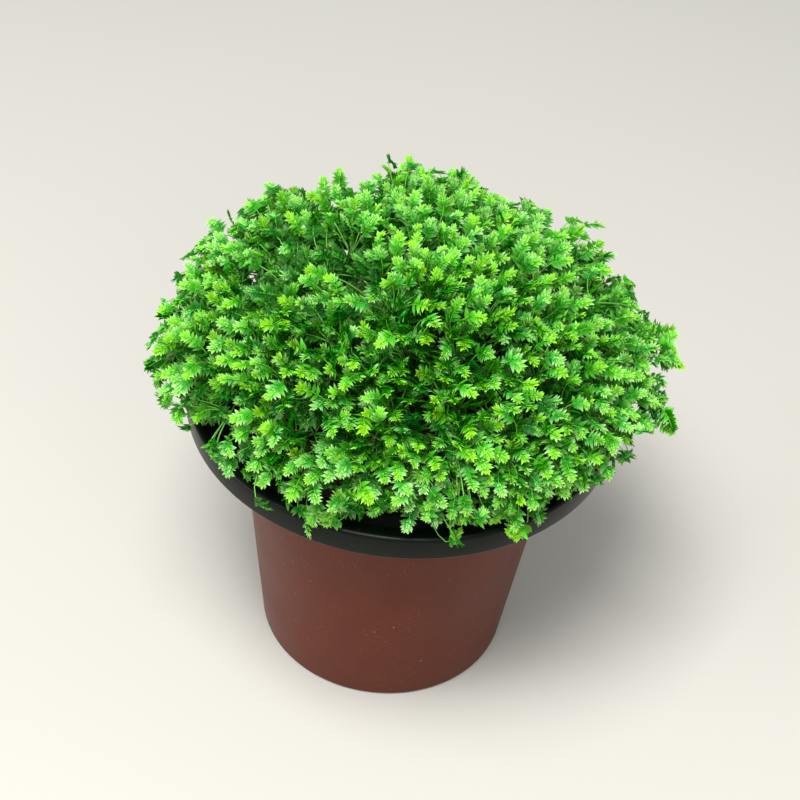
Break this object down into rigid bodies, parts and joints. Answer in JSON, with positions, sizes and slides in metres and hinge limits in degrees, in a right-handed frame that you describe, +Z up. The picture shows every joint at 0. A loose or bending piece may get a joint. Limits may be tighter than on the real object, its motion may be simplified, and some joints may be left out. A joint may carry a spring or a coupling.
{
  "type": "potted foliage plant",
  "caption": "Low cushion of tiny overlapping bright green leaves on fanning stems, spilling over the wide brim of a tapered round plastic nursery pot.",
  "frame": {"origin": "centre of the pot's flat underside", "axes": "+Z up through the pot and the plant, -Y towards the plant's flatter front, +X to the right seen from the front"},
  "size_m": [0.1079, 0.1041, 0.0997],
  "materials": {
    "pot": "satin",
    "soil": "matte",
    "stem": "satin",
    "leaf": "satin"
  },
  "bodies": {
    "root": {"pot": "pot", "soil": "soil", "stem_01": "stem", "stem_02": "stem", "stem_03": "stem", "stem_04": "stem", "stem_05": "stem", "stem_06": "stem", "stem_07": "stem", "stem_08": "stem", "stem_09": "stem", "stem_10": "stem", "stem_11": "stem", "stem_12": "stem", "stem_13": "stem", "stem_14": "stem", "stem_15": "stem", "stem_16": "stem", "stem_17": "stem", "stem_18": "stem", "stem_19": "stem", "stem_20": "stem", "stem_21": "stem", "stem_22": "stem", "stem_23": "stem", "stem_24": "stem", "stem_25": "stem", "stem_26": "stem", "stem_27": "stem", "stem_28": "stem", "leaves_01": "leaf", "leaves_02": "leaf", "leaves_03": "leaf", "leaves_04": "leaf", "leaves_05": "leaf", "leaves_06": "leaf", "leaves_07": "leaf", "leaves_08": "leaf", "leaves_09": "leaf", "leaves_10": "leaf", "leaves_11": "leaf", "leaves_12": "leaf", "leaves_13": "leaf", "leaves_14": "leaf", "leaves_15": "leaf", "leaves_16": "leaf", "leaves_17": "leaf", "leaves_18": "leaf", "leaves_19": "leaf", "leaves_20": "leaf", "leaves_21": "leaf", "leaves_22": "leaf", "leaves_23": "leaf", "leaves_24": "leaf", "leaves_25": "leaf", "leaves_26": "leaf", "leaves_27": "leaf", "leaves_28": "leaf"}
  },
  "joints": []
}
